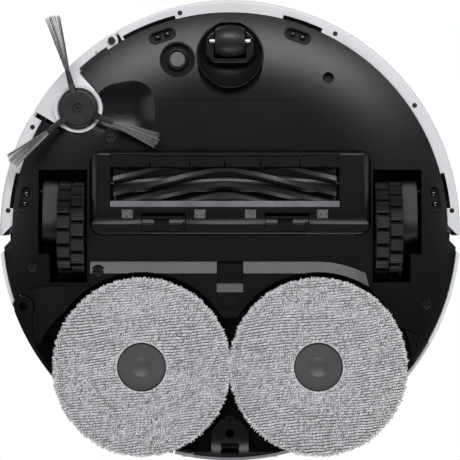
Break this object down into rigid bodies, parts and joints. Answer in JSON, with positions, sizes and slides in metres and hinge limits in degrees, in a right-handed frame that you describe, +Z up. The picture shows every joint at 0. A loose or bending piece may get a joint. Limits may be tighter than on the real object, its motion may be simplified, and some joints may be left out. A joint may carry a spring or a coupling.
{
  "type": "robot vacuum mop",
  "caption": "Round floor robot with side brush arm, roller brush, drive wheels, swivel caster and spinning mop discs.",
  "frame": {"origin": "on the floor, under the middle of the drive axle, which is the middle of the round body", "axes": "-Y is the direction of travel, +Y points to the rear charging contacts, +Z is up, -X is the robot's right-hand side"},
  "size_m": [0.35, 0.35, 0.104],
  "materials": {
    "dark_plastic": "fine satin texture",
    "black_plastic": "matte",
    "white_plastic": "smooth satin gloss",
    "grey_plastic": "satin",
    "window_plastic": "glossy, infrared-clear",
    "smoke_plastic": "smoky clear",
    "contact_metal": "plated, brushed",
    "black_steel": "black zinc",
    "steel": "turned",
    "grey_metal": "drawn can",
    "lens": "dark clear lens",
    "grey_mesh": "fine grille",
    "black_rubber": "matte rubber",
    "grey_rubber": "soft rubber",
    "tyre": "ribbed tread",
    "grey_bristle": "nylon bristles",
    "grey_felt": "short pile",
    "mop_cloth": "looped microfibre",
    "battery_wrap": "shrink wrap",
    "green_board": "solder mask",
    "filter_paper": "pleated paper"
  },
  "bodies": {
    "chassis": {"base_plate": "dark_plastic", "mop_deck": "dark_plastic", "rear_shell": "white_plastic", "charge_contacts": "contact_metal", "top_frame": "dark_plastic", "chassis_screws": "black_steel", "cliff_sensor_housings": "black_plastic", "cliff_sensor_lenses": "lens", "carpet_sensor_ring": "dark_plastic", "carpet_sensor_lens": "grey_mesh", "side_arm_pin": "black_steel", "brush_housing": "black_plastic", "main_brush_motor": "grey_metal", "brush_guard": "dark_plastic", "guard_comb": "dark_plastic", "guard_wiper": "grey_rubber", "guard_felt_pads": "grey_felt", "left_mop_gearbox": "dark_plastic", "battery_pack": "battery_wrap", "main_pcb": "green_board", "fan_housing": "black_plastic", "dust_bin": "smoke_plastic", "dust_filter": "filter_paper", "water_tank": "smoke_plastic", "lidar_base": "white_plastic", "lidar_cap": "white_plastic"},
    "bumper": {"bumper_shell": "white_plastic", "bumper_screws": "black_steel", "bumper_window": "window_plastic"},
    "side_arm": {"side_brush_arm": "white_plastic", "side_brush_motor": "grey_metal"},
    "side_brush": {"side_brush_hub": "black_rubber", "side_brush_screw": "black_steel", "side_brush_bristles": "grey_bristle"},
    "caster": {"caster_swivel": "dark_plastic", "caster_axle": "steel"},
    "caster_roller": {"caster_wheel": "black_rubber"},
    "main_brush": {"main_brush_core": "dark_plastic", "main_brush_fins": "black_rubber"},
    "latch_right": {"guard_latch_right": "dark_plastic"},
    "latch_left": {"guard_latch_left": "dark_plastic"},
    "right_suspension": {"right_wheel_arm": "dark_plastic"},
    "left_suspension": {"left_wheel_arm": "dark_plastic"},
    "right_wheel": {"right_wheel_hub": "dark_plastic", "right_tyre": "tyre"},
    "left_wheel": {"left_wheel_hub": "dark_plastic", "left_tyre": "tyre"},
    "swing_arm": {"mop_arm": "dark_plastic"},
    "right_mop_lift": {"right_mop_shaft": "steel"},
    "left_mop_lift": {"left_mop_shaft": "steel"},
    "right_mop": {"right_mop_disc": "grey_plastic", "right_mop_pad": "mop_cloth"},
    "left_mop": {"left_mop_disc": "grey_plastic", "left_mop_pad": "mop_cloth"},
    "cover": {"top_cover": "white_plastic"},
    "power": {"power_button": "white_plastic"},
    "home": {"home_button": "white_plastic"},
    "lidar": {"lidar_rotor": "black_plastic"},
    "impeller": {"fan_impeller": "dark_plastic"}
  },
  "joints": [
    {"name": "bumper_slide", "type": "slide", "parent": "chassis", "child": "bumper", "axis": [0, 1, 0], "range_m": [0, 0.003], "stiffness_N_per_m": 400, "springref_m": -0.002},
    {"name": "side_arm_swing", "type": "hinge", "parent": "chassis", "child": "side_arm", "pos_m": [-0.09003, -0.14408, 0.03], "axis": [0, 0, 1], "range_deg": [0, 25]},
    {"name": "side_brush_spin", "type": "hinge", "parent": "side_arm", "child": "side_brush", "pos_m": [-0.1149, -0.0919, 0.016], "axis": [0, 0, 1], "continuous": true, "deforming": ["side_brush_bristles"]},
    {"name": "caster_swivel_turn", "type": "hinge", "parent": "chassis", "child": "caster", "pos_m": [0, -0.1323, 0.03], "axis": [0, 0, 1], "continuous": true},
    {"name": "caster_wheel_spin", "type": "hinge", "parent": "caster", "child": "caster_roller", "pos_m": [0, -0.1428, 0.0122], "axis": [1, 0, 0], "continuous": true},
    {"name": "main_brush_spin", "type": "hinge", "parent": "chassis", "child": "main_brush", "pos_m": [0, -0.0345, 0.0172], "axis": [1, 0, 0], "continuous": true},
    {"name": "latch_right_slide", "type": "slide", "parent": "chassis", "child": "latch_right", "axis": [0, -1, 0], "range_m": [0, 0.0022], "stiffness_N_per_m": 300, "springref_m": -0.001},
    {"name": "latch_left_slide", "type": "slide", "parent": "chassis", "child": "latch_left", "axis": [0, -1, 0], "range_m": [0, 0.0022], "stiffness_N_per_m": 300, "springref_m": -0.001},
    {"name": "right_wheel_drop", "type": "hinge", "parent": "chassis", "child": "right_suspension", "pos_m": [-0.1368, -0.029, 0.04], "axis": [1, 0, 0], "range_deg": [-26, 0], "stiffness_Nm_per_rad": 0.2, "springref_deg": -34.38},
    {"name": "right_wheel_spin", "type": "hinge", "parent": "right_suspension", "child": "right_wheel", "pos_m": [-0.12, 0, 0.0374], "axis": [1, 0, 0], "continuous": true},
    {"name": "left_wheel_drop", "type": "hinge", "parent": "chassis", "child": "left_suspension", "pos_m": [0.1368, -0.029, 0.04], "axis": [1, 0, 0], "range_deg": [-26, 0], "stiffness_Nm_per_rad": 0.2, "springref_deg": -34.38},
    {"name": "left_wheel_spin", "type": "hinge", "parent": "left_suspension", "child": "left_wheel", "pos_m": [0.12, 0, 0.0374], "axis": [1, 0, 0], "continuous": true},
    {"name": "mop_arm_swing", "type": "hinge", "parent": "chassis", "child": "swing_arm", "pos_m": [-0.1561, 0.0578, 0.035], "axis": [0, 0, 1], "range_deg": [0, 20]},
    {"name": "right_mop_raise", "type": "slide", "parent": "swing_arm", "child": "right_mop_lift", "axis": [0, 0, 1], "range_m": [0, 0.008]},
    {"name": "right_mop_spin", "type": "hinge", "parent": "right_mop_lift", "child": "right_mop", "pos_m": [-0.0663, 0.1029, 0.01], "axis": [0, 0, 1], "continuous": true},
    {"name": "left_mop_raise", "type": "slide", "parent": "chassis", "child": "left_mop_lift", "axis": [0, 0, 1], "range_m": [0, 0.008]},
    {"name": "left_mop_spin", "type": "hinge", "parent": "left_mop_lift", "child": "left_mop", "pos_m": [0.0663, 0.1029, 0.01], "axis": [0, 0, 1], "continuous": true},
    {"name": "cover_lift", "type": "slide", "parent": "chassis", "child": "cover", "axis": [0, 0, 1], "range_m": [0, 0.03]},
    {"name": "power_press", "type": "slide", "parent": "cover", "child": "power", "axis": [0, 0, -1], "range_m": [0, 0.0008], "stiffness_N_per_m": 500, "springref_m": -0.0005},
    {"name": "home_press", "type": "slide", "parent": "cover", "child": "home", "axis": [0, 0, -1], "range_m": [0, 0.0008], "stiffness_N_per_m": 500, "springref_m": -0.0005},
    {"name": "lidar_spin", "type": "hinge", "parent": "chassis", "child": "lidar", "pos_m": [0, 0.052, 0.09], "axis": [0, 0, 1], "continuous": true},
    {"name": "fan_spin", "type": "hinge", "parent": "chassis", "child": "impeller", "pos_m": [0.098, -0.08, 0.05], "axis": [0, 0, 1], "continuous": true}
  ]
}
